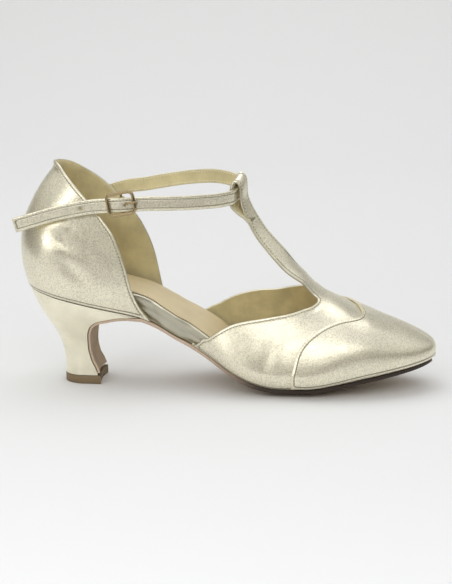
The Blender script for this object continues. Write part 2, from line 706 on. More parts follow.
def solid_object(name, points, faces, finishes, slots, rim):
    """Piece of the shoe; each point knows how far it is from the open edge."""
    mesh = bpy.data.meshes.new(name)
    mesh.from_pydata(place(points).tolist(), [], faces)
    for finish in finishes:
        mesh.materials.append(finish)
    mesh.polygons.foreach_set("material_index", slots)
    mesh.attributes.new("rim", "FLOAT", "POINT").data.foreach_set("value", rim)
    mesh.polygons.foreach_set("use_smooth", [True] * len(faces))
    mesh.set_sharp_from_angle(angle=math.radians(SHARP_ANGLE))
    mesh.validate()
    return added(name, mesh)


# Finishes
class Finish:
    """A material with one main shader and short calls for its nodes."""

    def __init__(self, name):
        self.looks = bpy.context.scene.shoe_looks
        self.material = bpy.data.materials.new(name)
        self.material.use_nodes = True
        self.nodes = self.material.node_tree.nodes
        self.links = self.material.node_tree.links
        self.shader = self.nodes["Principled BSDF"]
        self.place = self.nodes.new("ShaderNodeTexCoord").outputs["Object"]

    def plug(self, socket, value):
        if isinstance(value, bpy.types.NodeSocket):
            self.links.new(value, socket)
        elif socket.type == "RGBA":
            socket.default_value = (*value[:3], 1)
        else:
            socket.default_value = value

    def set(self, **values):
        for name, value in values.items():
            self.plug(self.shader.inputs[name.replace("_", " ")], value)
        return self

    def node(self, kind, inputs, **settings):
        node = self.nodes.new(kind)
        for name, value in settings.items():
            setattr(node, name, value)
        for name, value in inputs.items():
            self.plug(node.inputs[name], value)
        return node

    def noise(self, cell, detail=3, roughness=0.55):
        return self.node("ShaderNodeTexNoise", {
            "Vector": self.place, "Scale": 1 / cell, "Detail": detail, "Roughness": roughness,
        }).outputs["Fac"]

    def cells(self, size):
        inputs = {"Vector": self.place, "Scale": 1 / size}
        return self.node("ShaderNodeTexVoronoi", inputs).outputs["Distance"]

    def fit(self, value, low, high, to_low=0.0, to_high=1.0):
        return self.node("ShaderNodeMapRange", {
            "Value": value, "From Min": low, "From Max": high, "To Min": to_low, "To Max": to_high,
        }, interpolation_type="SMOOTHSTEP").outputs["Result"]

    def math(self, operation, a, b):
        node = self.nodes.new("ShaderNodeMath")
        node.operation = operation
        for socket, value in zip(node.inputs, (a, b)):
            self.plug(socket, value)
        return node.outputs["Value"]

    def blend(self, share, first, second):
        node = self.nodes.new("ShaderNodeMix")
        node.data_type = "RGBA"
        sockets = {s.identifier: s for s in node.inputs}
        for key, value in (("Factor_Float", share), ("A_Color", first), ("B_Color", second)):
            self.plug(sockets[key], value)
        return next(s for s in node.outputs if s.identifier == "Result_Color")

    def bump(self, height, distance, normal=None):
        inputs = {"Height": height, "Distance": distance, "Strength": 1.0}
        if normal is not None:
            inputs["Normal"] = normal
        return self.node("ShaderNodeBump", inputs).outputs["Normal"]

    def attribute(self, name):
        return self.node("ShaderNodeAttribute", {}, attribute_name=name).outputs["Fac"]

    def axis(self, name):
        return self.node("ShaderNodeSeparateXYZ", {"Vector": self.place}).outputs[name]


def started(name):
    """A new finish and the shoe's settings."""
    finish = Finish(name)
    return finish, finish.looks


def shade(colour, share):
    return tuple(c * share for c in colour[:3])


def once(make):
    """A finish by its maker's name, made the first time it is asked for."""
    return bpy.data.materials.get(make.__name__) or make(make.__name__).material


def gold_kid(name):
    """Champagne metallic goatskin: fine grain, faint rubbed marks, a sunk stitch line."""
    f, looks = started(name)
    speckle = f.noise(looks.grain_size * 1.1, 1)
    grain = f.math("ADD", f.cells(looks.grain_size), speckle)
    tone = f.fit(f.noise(0.016, 2), 0.25, 0.75)
    pores = f.fit(speckle, 0.42, 0.64)
    colour = f.blend(tone, shade(looks.leather, 0.93), looks.leather)
    colour = f.blend(f.math("MULTIPLY", pores, 0.5), colour, shade(looks.leather, 0.55))
    rim = f.attribute("rim")
    groove = f.math("MULTIPLY", f.fit(rim, 1.2, 1.7), f.fit(rim, 1.8, 2.4, 1.0, 0.0))
    colour = f.blend(f.math("MULTIPLY", groove, 0.8), colour, shade(looks.leather, 0.25))
    rough = f.fit(f.noise(0.012, 1), 0.2, 0.8, 0.30, 0.35)
    normal = f.bump(groove, -0.0003)
    normal = f.bump(grain, 0.00006, normal)
    normal = f.bump(f.noise(0.007, 1), 0.0001, normal)
    return f.set(Base_Color=colour, Metallic=0.92, Roughness=rough, Normal=normal)


def plain_gold_kid(name, share=1.0):
    """The same leather on the heel and at edges, where nothing is sewn."""
    f, looks = started(name)
    grain = f.math("ADD", f.cells(looks.grain_size), f.noise(looks.grain_size * 0.55, 2))
    tone = f.fit(f.noise(0.012, 3), 0.35, 0.65)
    colour = f.blend(tone, shade(looks.leather, 0.92 * share), shade(looks.leather, share))
    rough = f.fit(f.noise(0.012, 1), 0.2, 0.8, 0.27, 0.33)
    normal = f.bump(grain, 0.00003)
    return f.set(Base_Color=colour, Metallic=0.92, Roughness=rough, Normal=normal)


def wrapped_kid(name):
    """The leather round the insole's edge, rubbed darker."""
    return plain_gold_kid(name, 0.55)


def folded_kid(name):
    """The leather where it turns over an edge."""
    return plain_gold_kid(name, 0.7)


def raw_edge(name):
    f, looks = started(name)
    colour = f.blend(f.noise(0.0012, 3), shade(looks.raw_edge, 0.7), looks.raw_edge)
    return f.set(Base_Color=colour, Roughness=0.8, Normal=f.bump(f.noise(0.0004, 3), 0.0001))


def lining_suede(name):
    f, looks = started(name)
    tone = f.fit(f.noise(0.010, 4), 0.3, 0.7)
    colour = f.blend(tone, shade(looks.lining, 0.8), looks.lining)
    colour = f.blend(f.math("MULTIPLY", f.noise(0.0008, 2), 0.25), colour, shade(looks.lining, 0.6))
    normal = f.bump(f.noise(0.0007, 4, 0.7), 0.00015)
    f.set(Base_Color=colour, Roughness=0.9, Normal=normal)
    f.shader.inputs["Sheen Weight"].default_value = 0.2
    return f


def sock_kid(name):
    f, looks = started(name)
    tone = f.fit(f.noise(0.02, 4), 0.3, 0.7)
    colour = f.blend(tone, shade(looks.sock, 0.9), looks.sock)
    normal = f.bump(f.noise(0.0009, 3), 0.00006)
    return f.set(Base_Color=colour, Roughness=0.55, Normal=normal)


def sole_hide(name):
    """Brown sole leather on the breast of the heel and under the sole, rubbed under the ball."""
    f, looks = started(name)
    tone = f.fit(f.noise(0.006, 5), 0.3, 0.7)
    colour = f.blend(tone, shade(looks.sole_leather, 0.78), looks.sole_leather)
    normal = f.bump(f.noise(0.0006, 4, 0.7), 0.0001)
    return f.set(Base_Color=colour, Roughness=0.72, Normal=normal)


def sole_edge(name):
    """Trimmed edge of the sole: pale at the waist, inked dark towards the toe."""
    f, looks = started(name)
    start, end = place([0.43 * LENGTH, 0, 0])[0], place([0.6 * LENGTH, 0, 0])[0]
    colour = f.blend(f.fit(f.axis("X"), start, end), looks.waist_edge, looks.inked_edge)
    fibres = f.noise(0.0005, 3)
    colour = f.blend(f.math("MULTIPLY", fibres, 0.4), colour, shade(looks.inked_edge, 0.6))
    return f.set(Base_Color=colour, Roughness=0.6, Normal=f.bump(fibres, 0.00008))


def tip_rubber(name):
    f, looks = started(name)
    colour = f.blend(f.noise(0.002, 4), shade(looks.tip, 0.75), looks.tip)
    return f.set(Base_Color=colour, Roughness=0.65, Normal=f.bump(f.noise(0.0005, 3), 0.00006))


def aged_bronze(name):
    f, looks = started(name)
    rough = f.fit(f.noise(0.003, 3), 0.3, 0.7, 0.2, 0.34)
    return f.set(Base_Color=looks.buckle, Metallic=1.0, Roughness=rough)


def thread(name):
    f, looks = started(name)
    return f.set(Base_Color=looks.thread, Roughness=0.5, Metallic=0.2)


def floor_paper(name):
    f, looks = started(name)
    return f.set(Base_Color=looks.floor, Roughness=0.75, Specular_IOR_Level=0.2)


# Hand-placed creases
def crease_relief(creases):
    """Soft troughs with a low ridge on each side, between pairs of points on the leather."""
    depth_share = bpy.context.scene.shoe_looks.crease_depth

    def relief(points):
        total = np.zeros(len(points))
        for start, end, width, depth in creases:
            run = end - start
            t = np.clip((points - start) @ run / (run @ run), 0, 1)
            d = np.linalg.norm(points - start - t[:, None] * run, axis=1) / width
            fade = np.sin(math.pi * mix(0.08, 0.92, t))
            total += depth * fade * (0.4 * np.exp(-((d - 1.7) ** 2) * 1.5) - np.exp(-(d**2)))
        return total * depth_share

    return relief


# Creases of the heel part: turn and height share at both ends, side, width and depth in mm
QUARTER_CREASES = [
    (0.45, 0.345, 1.25, 0.33, -1, 6.5, -0.9),
    (0.45, 0.345, 1.25, 0.33, 1, 7.0, -0.6),
    (0.62, 0.60, 0.98, 0.66, -1, 2.6, 0.55),
    (0.80, 0.72, 1.30, 0.60, -1, 2.2, 0.45),
    (0.95, 0.50, 1.45, 0.44, -1, 3.0, 0.4),
    (0.55, 0.38, 1.05, 0.30, -1, 4.5, 0.45),
    (1.20, 0.33, 1.85, 0.16, -1, 3.6, 0.4),
    (0.60, 0.62, 1.05, 0.66, 1, 2.8, 0.5),
    (0.90, 0.48, 1.50, 0.40, 1, 3.2, 0.4),
    (0.10, 0.55, 0.45, 0.60, 1, 3.0, 0.35),
]

# Creases of the vamp: share of the length and angle at both ends, width and depth in mm
VAMP_CREASES = [
    (0.665, -62, 0.700, -44, 2.4, 0.4),
    (0.640, -70, 0.655, -54, 2.8, 0.35),
    (0.600, -82, 0.612, -64, 3.2, 0.3),
    (0.705, -38, 0.722, -27, 1.8, 0.3),
    (0.680, 40, 0.700, 30, 2.0, 0.35),
    (0.640, 62, 0.655, 48, 2.6, 0.35),
    (0.590, 76, 0.600, 60, 3.0, 0.3),
]

# Layers through a leather's thickness, and how far each stands back at the edge
EDGE_SHARES = np.array([0, 0.18, 0.5, 0.82, 1])
EDGE_INSETS = [0.32, 0.07, 0, 0.07, 0.32]


def vamp_relief():
    return crease_relief([
        (upper_point(a * LENGTH, p), upper_point(b * LENGTH, q), width, depth)
        for a, p, b, q, width, depth in VAMP_CREASES
    ])


def quarter_relief():
    return crease_relief([
        (counter_point(a, u, side), counter_point(b, v, side), width, depth)
        for a, u, b, v, side, width, depth in QUARTER_CREASES
    ])


# Sheets
TOE_PIECE_ANGLE, ANGLE_SLACK = 98, 1e-6


def vamp_sheets():
    angle, tip = columns()
    on_strap = (angle >= STRAP_OUTER - ANGLE_SLACK) & (angle <= STRAP_INNER + ANGLE_SLACK)
    panel = angle[on_strap]
    slots = np.linspace(0, LAST_ROW, LAST_ROW * 4 + 1)
    strap = panel_point(*np.broadcast_arrays(slots[None, :], panel[:, None]))
    body = upper_sheet(angle, tip, steps(topline_station(angle), seam_station(angle), 36))
    toe = upper_sheet(angle, tip, toe_stations(angle))
    return strap, body, toe


def toe_piece_sheet():
    angle, tip = columns()
    kept = np.abs(angle) <= TOE_PIECE_ANGLE + ANGLE_SLACK
    angle, tip = angle[kept], tip[kept]
    return upper_sheet(angle, tip, toe_stations(angle))


def heel_across(count):
    return np.sin((np.linspace(0, 1, count + 1) - 0.5) * math.pi)


def plate_stacks(x, half_of, top_of, low_of, shares, count=24):
    """Rows of stacks across a flat piece, between its upper and lower faces."""
    x = x[:, None] * np.ones(count + 1)
    across = heel_across(count)[None, :] * np.ones_like(x)
    y = across * half_of(x, np.where(across < 0, -1, 1))
    top = np.stack([x, y, top_of(x, y)], -1)
    low = np.stack([x, y, low_of(x, y)], -1)
    return mix(top[:, :, None], low[:, :, None], np.asarray(shares, float)[None, None, :, None])


def spread(start, end, count):
    return np.linspace(start, end, count + 1)


def round_end(start, end, count):
    return start + (end - start) * np.sin(np.linspace(0, 1, count + 1) * math.pi / 2)


def insole_stations():
    return np.concatenate([
        round_end(SEAT_MIDDLE, INSOLE_BACK, 20)[::-1],
        spread(SEAT_MIDDLE, FLAT_FROM, 60)[1:],
        round_end(FLAT_TO, INSOLE_FRONT, 30),
    ])


def crossings(grid, level_of, level):
    """First point of each row of a grid where a measure reaches a level."""
    found = []
    for row, value in zip(grid, level_of):
        over = np.nonzero(value >= level)[0]
        if len(over) and over[0] > 0:
            i = over[0]
            t = (level - value[i - 1]) / (value[i] - value[i - 1])
            found.append(mix(row[i - 1], row[i], t))
    return np.array(found)


def edge_distance(points, edge):
    """Distance of each point from a line of points."""
    between = [mix(edge[:-1], edge[1:], t) for t in EDGE_SAMPLES]
    line = nearest(np.concatenate([*between, edge[-1:]]))
    flat = points.reshape(-1, 3)
    return np.array([line.find(p)[2] for p in flat]).reshape(points.shape[:-1])


def inset_line(grid, edge, inset):
    return crossings(grid, edge_distance(grid, edge), inset)


def outer_face(sheets, relief, offset=0.05):
    return [stack[:, :, 0] for stack in offset_sheets(sheets, [offset], relief)]


# Distance of each row of stitches from the leather's edge, and its height over the leather
TOPLINE_INSET, T_STRAP_INSET, SEAM_INSET, ANKLE_INSET = 2.0, 1.7, 1.4, 1.3
THREAD_LIFT, ANKLE_THREAD_LIFT = 0.05, 0.02


def stitched_lines():
    """Lines of stitching, each a row of points on the leather."""
    lines = []
    # Topline of the vamp on both sides, and the edges of the T-strap
    strap, body, _ = outer_face(vamp_sheets(), vamp_relief())
    angle, _ = columns()
    for side, first, across in ((-1, STRAP_OUTER, strap), (1, STRAP_INNER, strap[::-1])):
        chosen = (angle * side >= abs(first) + 0.1) & (np.abs(angle) <= TOE_PIECE_ANGLE)
        edge = body[angle * side >= abs(first) - ANGLE_SLACK][:, 0]
        rows = np.swapaxes(across, 0, 1)[:-8]
        lines.append(inset_line(body[chosen], edge, TOPLINE_INSET))
        lines.append(inset_line(rows, across[0], T_STRAP_INSET))
    # Seam of the toe piece
    cap = outer_face([toe_piece_sheet()], None, GAP + TOE_PIECE_THICKNESS + THREAD_LIFT)[0]
    lines.append(inset_line(cap[2:-2], cap[:, 0], SEAM_INSET))
    # Topline and front edge of the heel part
    for grid in outer_face(quarter_sheets(), quarter_relief()):
        lines.append(inset_line(grid[:, ::-1], grid[:, -1], TOPLINE_INSET))
    # Both edges of the ankle strap, on both faces
    middle, _, up, inward = ankle_frame(np.linspace(0.3, 23.6, 240))
    for across in (-1, 1):
        for face in (-1, 1):
            inset = up * across * (STRAP_WIDTH / 2 - ANKLE_INSET)
            lift = inward * face * (STRAP_THICKNESS / 2 + ANKLE_THREAD_LIFT)
            lines.append(middle + inset + lift)
    return lines


def quarter_sheets():
    return [quarter_side(-1, 54, 30), quarter_side(1, 54, 30)[::-1]]


# Stitching: short threads along a line
def stitch_tree():
    tree = bpy.data.node_groups.new("Stitches", "GeometryNodeTree")
    face = tree.interface
    face.new_socket("Geometry", in_out="INPUT", socket_type="NodeSocketGeometry")
    for name, value in (("Pitch", 0.0019), ("Stitch Length", 0.0014), ("Thread Radius", 0.0002)):
        socket = face.new_socket(name, in_out="INPUT", socket_type="NodeSocketFloat")
        socket.default_value = value
    face.new_socket("Material", in_out="INPUT", socket_type="NodeSocketMaterial")
    face.new_socket("Geometry", in_out="OUTPUT", socket_type="NodeSocketGeometry")
    nodes, links = tree.nodes, tree.links
    inside, outside = nodes.new("NodeGroupInput"), nodes.new("NodeGroupOutput")
    curve = nodes.new("GeometryNodeMeshToCurve")
    points = nodes.new("GeometryNodeResampleCurve")
    points.mode = "LENGTH"
    drop = nodes.new("GeometryNodeMeshIcoSphere")
    drop.inputs["Radius"].default_value = 1
    drop.inputs["Subdivisions"].default_value = 2
    tangent = nodes.new("GeometryNodeInputTangent")
    turn = nodes.new("FunctionNodeAlignRotationToVector")
    turn.axis = "X"
    half = nodes.new("ShaderNodeMath")
    half.operation = "MULTIPLY"
    half.inputs[1].default_value = 0.5
    size = nodes.new("ShaderNodeCombineXYZ")
    put = nodes.new("GeometryNodeInstanceOnPoints")
    real = nodes.new("GeometryNodeRealizeInstances")
    smooth_shade = nodes.new("GeometryNodeSetShadeSmooth")
    finish = nodes.new("GeometryNodeSetMaterial")
    for start, end in (
        (inside.outputs["Geometry"], curve.inputs["Mesh"]),
        (curve.outputs["Curve"], points.inputs["Curve"]),
        (inside.outputs["Pitch"], points.inputs["Length"]),
        (points.outputs["Curve"], put.inputs["Points"]),
        (drop.outputs["Mesh"], put.inputs["Instance"]),
        (tangent.outputs["Tangent"], turn.inputs["Vector"]),
        (turn.outputs["Rotation"], put.inputs["Rotation"]),
        (inside.outputs["Stitch Length"], half.inputs[0]),
        (half.outputs["Value"], size.inputs["X"]),
        (inside.outputs["Thread Radius"], size.inputs["Y"]),
        (inside.outputs["Thread Radius"], size.inputs["Z"]),
        (size.outputs["Vector"], put.inputs["Scale"]),
        (put.outputs["Instances"], real.inputs["Geometry"]),
        (real.outputs["Geometry"], smooth_shade.inputs["Geometry"]),
        (smooth_shade.outputs["Geometry"], finish.inputs["Geometry"]),
        (inside.outputs["Material"], finish.inputs["Material"]),
        (finish.outputs["Geometry"], outside.inputs["Geometry"]),
    ):
        links.new(start, end)
    return tree


def evaluated_mesh(thing):
    graph = bpy.context.evaluated_depsgraph_get()
    return bpy.data.meshes.new_from_object(thing.evaluated_get(graph))


def grown_by_tree(name, mesh, tree, values):
    """Plain mesh that a node tree grows from another one."""
    seed = added(name + "_lines", mesh)
    modifier = seed.modifiers.new("Grow", "NODES")
    modifier.node_group = tree
    for socket in tree.interface.items_tree:
        if socket.in_out == "INPUT" and socket.name in values:
            modifier[socket.identifier] = values[socket.name]
    grown = evaluated_mesh(seed)
    seed.modifiers.remove(modifier)
    bpy.data.objects.remove(seed)
    grown.name = name
    return added(name, grown)


# Pieces
def leather_faces():
    """Finishes of the upper's face, lining and folded edge."""
    return [once(gold_kid), once(lining_suede), once(folded_kid)]


def make_vamp():
    sheets = offset_sheets(vamp_sheets(), -UPPER_WALL * EDGE_SHARES, vamp_relief())
    piece = closed_solid("vamp_leather", sheets, leather_faces(), EDGE_INSETS)
    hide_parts("vamp")
    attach(piece, "root")


def make_toe_piece():
    sheets = offset_sheets([toe_piece_sheet()], GAP + TOE_PIECE_THICKNESS * (1 - EDGE_SHARES))
    piece = closed_solid("toe_piece_leather", sheets, [
        once(gold_kid),
        once(lining_suede),
        once(raw_edge),
    ], [0.2, 0.04, 0, 0, 0])
    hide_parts("toe_piece")
    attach(piece, "root")


def make_quarter():
    sheets = offset_sheets(quarter_sheets(), -UPPER_WALL * EDGE_SHARES, quarter_relief())
    piece = closed_solid("quarter_leather", sheets, leather_faces(), EDGE_INSETS)
    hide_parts("quarter")
    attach(piece, "root")


def punch_hole(piece, slot):
    """Round hole through the ankle strap's middle at one slot of its length."""
    middle, along, up, inward = (value[0] for value in ankle_frame(np.array([slot])))
    turns = np.linspace(0, 2 * math.pi, 16, endpoint=False)
    ring = (np.cos(turns)[:, None] * along + np.sin(turns)[:, None] * up) * HOLE_DIAMETER / 2
    depth = inward * 2 * STRAP_THICKNESS
    points = np.concatenate([middle + ring - depth, middle + ring + depth])
    count = len(turns)
    sides = [(i, (i + 1) % count, (i + 1) % count + count, i + count) for i in range(count)]
    caps = [tuple(range(count))[::-1], tuple(range(count, 2 * count))]
    mesh = bpy.data.meshes.new("punch")
    mesh.from_pydata([tuple(place(point)) for point in points], [], sides + caps)
    mesh.validate()
    bm = bmesh.new()
    bm.from_mesh(mesh)
    bmesh.ops.recalc_face_normals(bm, faces=bm.faces)
    bm.to_mesh(mesh)
    bm.free()
    punch = added("punch", mesh)
    cut = piece.modifiers.new("Hole", "BOOLEAN")
    cut.operation, cut.object, cut.solver = "DIFFERENCE", punch, "EXACT"
    holed = evaluated_mesh(piece)
    piece.modifiers.remove(cut)
    bpy.data.objects.remove(punch)
    piece.data = holed


def make_ankle_strap():
    slots = np.linspace(0, 24, 241)
    middle, _, up, inward = ankle_frame(slots)
    across = np.linspace(-1, 1, 13)
    edge = middle[:, None] + up[:, None] * (across * STRAP_WIDTH / 2)[None, :, None]
    swell = STRAP_SWELL * (1 - across**4)[None, :, None]
    outer = edge - inward[:, None] * (STRAP_THICKNESS / 2 - STRAP_SWELL + swell)
    inner = edge + inward[:, None] * (STRAP_THICKNESS / 2)
    stacks = mix(outer[:, :, None], inner[:, :, None], EDGE_SHARES[None, None, :, None])
    piece = closed_solid("ankle_strap_leather", [stacks], leather_faces(), EDGE_INSETS)
    prong = bpy.data.objects["buckle_prong"]
    wire = nearest([prong.matrix_world @ vertex.co for vertex in prong.data.vertices])
    to_prong = [wire.find(place(point))[2] for point in middle]
    for slot in (slots[np.argmin(to_prong)], TAIL_HOLE_SLOT):
        punch_hole(piece, slot)
    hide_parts("ankle_strap")
    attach(piece, "root")


def make_insole():
    # The wrapped leather bulges over the board, and the board stands back under it
    shares = [0, 0.05, 0.16, 0.42, 0.5, 0.56, 0.64, 1]
    insets = [0.6, 0.15, 0, 0.1, 0.5, 0.55, 0.35, 1.3]
    stacks = plate_stacks(
        insole_stations(),
        lambda x, side: insole_half(x, side) * end_shrink(x),
        insole_top,
        lambda x, y: sole_top(x, y) + INSOLE_GAP,
        shares,
    )
    leather = once(wrapped_kid)
    piece = closed_solid("insole_cover", [stacks], [leather] * 3, insets)
    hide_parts("insole")
    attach(piece, "root")
    stacks = plate_stacks(
        insole_stations(),
        lambda x, side: np.maximum(0, insole_half(x, side) - 0.5) * end_shrink(x),
        lambda x, y: insole_top(x, y) + GAP + SOCK_THICKNESS,
        lambda x, y: insole_top(x, y) + GAP,
        [0, 0.4, 1],
    )
    leather = once(sock_kid)
    piece = closed_solid("sock_cover", [stacks], [leather] * 3, [0.3, 0, 0])
    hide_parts("sock")
    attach(piece, "root")


def make_outsole():
    levels = np.concatenate([np.linspace(0.02, 0.76, 40), np.linspace(0.77, 0.9565, 20)])
    across = heel_across(24)[None, :]
    shares = np.array([0, 0.12, 0.5, 0.88, 1])
    inner = cover_point(levels[:, None], across, GAP)
    outer = cover_point(levels[:, None], across, GAP + HEEL_COVER_THICKNESS)
    cover = mix(inner[:, :, None], outer[:, :, None], shares[None, None, :, None])
    x = np.concatenate([
        spread(0.302 * LENGTH, FLAT_FROM, 90),
        round_end(FLAT_TO, TOE_END, 44),
    ])
    sole = plate_stacks(x, edge_half, sole_top, sole_under, shares)
    stacks = np.concatenate([cover, sole])
    finishes = [once(sole_hide), once(sole_hide), once(sole_edge)]
    piece = closed_solid("outsole_leather", [stacks], finishes, [0.15, 0, 0, 0.05, 0.3])
    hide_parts("outsole")
    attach(piece, "root")


def make_heel():
    levels = np.concatenate([np.linspace(0, 0.76, 40), np.linspace(0.78, 1, 16)])[::-1]
    along = np.sin(np.linspace(0, 1, 33) * math.pi / 2) ** 1.15
    grid = heel_point(levels[None, None, :], along[:, None, None], heel_across(24)[None, :, None])
    leather = once(plain_gold_kid)
    piece = closed_solid("heel_cover", [grid], [leather] * 3)
    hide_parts("heel")
    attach(piece, "root")
    flat = heel_point(0, along[:, None], heel_across(24)[None, :])
    flat[..., 0] += (GAP + HEEL_COVER_THICKNESS) * along[:, None] ** 2
    shares = np.array([0, 0.06, 0.5, 0.94, 1])
    stacks = np.repeat(flat[:, :, None], len(shares), 2)
    stacks[..., 2] = TIP_THICKNESS * (1 - shares)
    rubber = once(tip_rubber)
    piece = closed_solid("heel_tip_rubber", [stacks], [rubber] * 3, [0.25, 0, 0, 0, 0.25])
    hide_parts("heel_tip")
    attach(piece, "root")


def make_buckle():
    for name, finish in (
        ("buckle_frame", aged_bronze),
        ("buckle_prong", aged_bronze),
        ("buckle_tab", lining_suede),
    ):
        for slot in bpy.data.objects[name].material_slots:
            slot.material = once(finish)


def make_stitching():
    looks = bpy.context.scene.shoe_looks
    points, edges = [], []
    for line in stitched_lines():
        start = len(points)
        points += place(line).tolist()
        edges += [(i, i + 1) for i in range(start, len(points) - 1)]
    mesh = bpy.data.meshes.new("stitch_lines")
    mesh.from_pydata(points, edges, [])
    piece = grown_by_tree("stitching", mesh, stitch_tree(), {
        "Pitch": looks.stitch_pitch,
        "Stitch Length": looks.stitch_length,
        "Thread Radius": looks.thread_radius,
        "Material": once(thread),
    })
    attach(piece, "root")


# Stage: floor in metres, camera in degrees and in the shoe's millimetres
FLOOR_FRONT, FLOOR_BACK, FLOOR_HALF_WIDTH = -0.58, 0.9, 2.2
SWEEP, BACKDROP_TOP = 0.8, 2.4
CAMERA_AZIMUTH, CAMERA_ELEVATION = 5.0, 12.5
CAMERA_DISTANCE, CAMERA_LENS = 900, 94.13
CAMERA_TARGET = (121.581, 0, 54.43)
# Tone of the room by the sine of the angle above the table
ROOM_TONES = (
    (0.0, (0.05, 0.035, 0.015)),
    (0.08, (0.09, 0.07, 0.04)),
    (0.28, (0.46, 0.45, 0.40)),
    (0.5, (0.74, 0.74, 0.72)),
    (1.0, (0.80, 0.80, 0.81)),
)


def aim(thing, target):
    away = Vector(thing.location) - Vector(target)
    thing.rotation_euler = away.to_track_quat("Z", "Y").to_euler()


def softbox(name, location, target, size, power):
    light = bpy.data.lights.new(name, "AREA")
    light.shape = "RECTANGLE"
    light.size, light.size_y = size
    light.energy = power
    thing = added(name, light)
    thing.location = location
    aim(thing, target)


def make_stage():
    scene = bpy.context.scene
    looks = scene.shoe_looks
    # Floor that sweeps up into a backdrop
    profile = [(FLOOR_FRONT, 0.0), (FLOOR_BACK, 0.0)]
    for turn in np.linspace(0.1, math.pi / 2, 14):
        profile.append((FLOOR_BACK + SWEEP * math.sin(turn), SWEEP * (1 - math.cos(turn))))
    profile.append((FLOOR_BACK + SWEEP, BACKDROP_TOP))
    points = [(x, y, z) for y, z in profile for x in (-FLOOR_HALF_WIDTH, FLOOR_HALF_WIDTH)]
    faces = [(2 * i, 2 * i + 1, 2 * i + 3, 2 * i + 2) for i in range(len(profile) - 1)]
    mesh = bpy.data.meshes.new("floor")
    mesh.from_pydata(points, [], faces)
    mesh.polygons.foreach_set("use_smooth", [True] * len(faces))
    mesh.materials.append(once(floor_paper))
    floor = added("floor", mesh)
    floor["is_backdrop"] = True
    # Room: dark below the table's edge, brighter towards the ceiling
    scene.view_settings.view_transform = "Standard"
    world = bpy.data.worlds.new("studio")
    scene.world = world
    world.use_nodes = True
    nodes, links = world.node_tree.nodes, world.node_tree.links
    direction = nodes.new("ShaderNodeTexCoord")
    height = nodes.new("ShaderNodeSeparateXYZ")
    ramp = nodes.new("ShaderNodeValToRGB")
    links.new(direction.outputs["Generated"], height.inputs["Vector"])
    links.new(height.outputs["Z"], ramp.inputs["Fac"])
    links.new(ramp.outputs["Color"], nodes["Background"].inputs["Color"])
    stops = ramp.color_ramp.elements
    stops[0].position, stops[1].position = ROOM_TONES[0][0], ROOM_TONES[-1][0]
    for at, _ in ROOM_TONES[1:-1]:
        stops.new(at)
    for stop, (_, tone) in zip(stops, ROOM_TONES):
        stop.color = (*tone, 1)
    nodes["Background"].inputs["Strength"].default_value = looks.surround_strength
    softbox("overhead", (-0.15, 0.6, 1.5), (0, 0.4, 0), (1.8, 1.5), looks.overhead_power)
    softbox("front_left", (-0.35, -0.7, 1.15), (0, 0, 0.05), (1.4, 0.9), looks.key_power)
    softbox("window", (-0.75, -1.25, 0.40), (-0.08, 0, 0.06), (0.55, 0.3), looks.window_power)
    softbox("table_front", (-0.05, -0.62, 0.42), (-0.05, -0.5, 0), (0.9, 0.2), looks.table_power)
    # Camera
    turn, rise = math.radians(CAMERA_AZIMUTH), math.radians(CAMERA_ELEVATION)
    away = np.array([
        math.sin(turn) * math.cos(rise), -math.cos(turn) * math.cos(rise), math.sin(rise),
    ])
    camera = added("camera", bpy.data.cameras.new("camera"))
    camera.data.sensor_fit = "AUTO"
    camera.data.sensor_width = 36
    camera.data.lens = CAMERA_LENS
    camera.data.clip_start, camera.data.clip_end = 0.05, 20
    camera.location = place(np.array(CAMERA_TARGET) + away * CAMERA_DISTANCE)
    aim(camera, place(CAMERA_TARGET))
    scene.camera = camera


# Add-on
def length_prop(name, description, default):
    return FloatProperty(name=name, description=description, default=default, min=0,
                         unit="LENGTH", subtype="DISTANCE", precision=5)


def power_prop(name, description, default):
    return FloatProperty(name=name, description=description, default=default, min=0,
                         unit="POWER", subtype="POWER")


def colour_prop(name, description, default):
    return FloatVectorProperty(name=name, description=description, default=default, size=3,
                               min=0, max=1, subtype="COLOR")


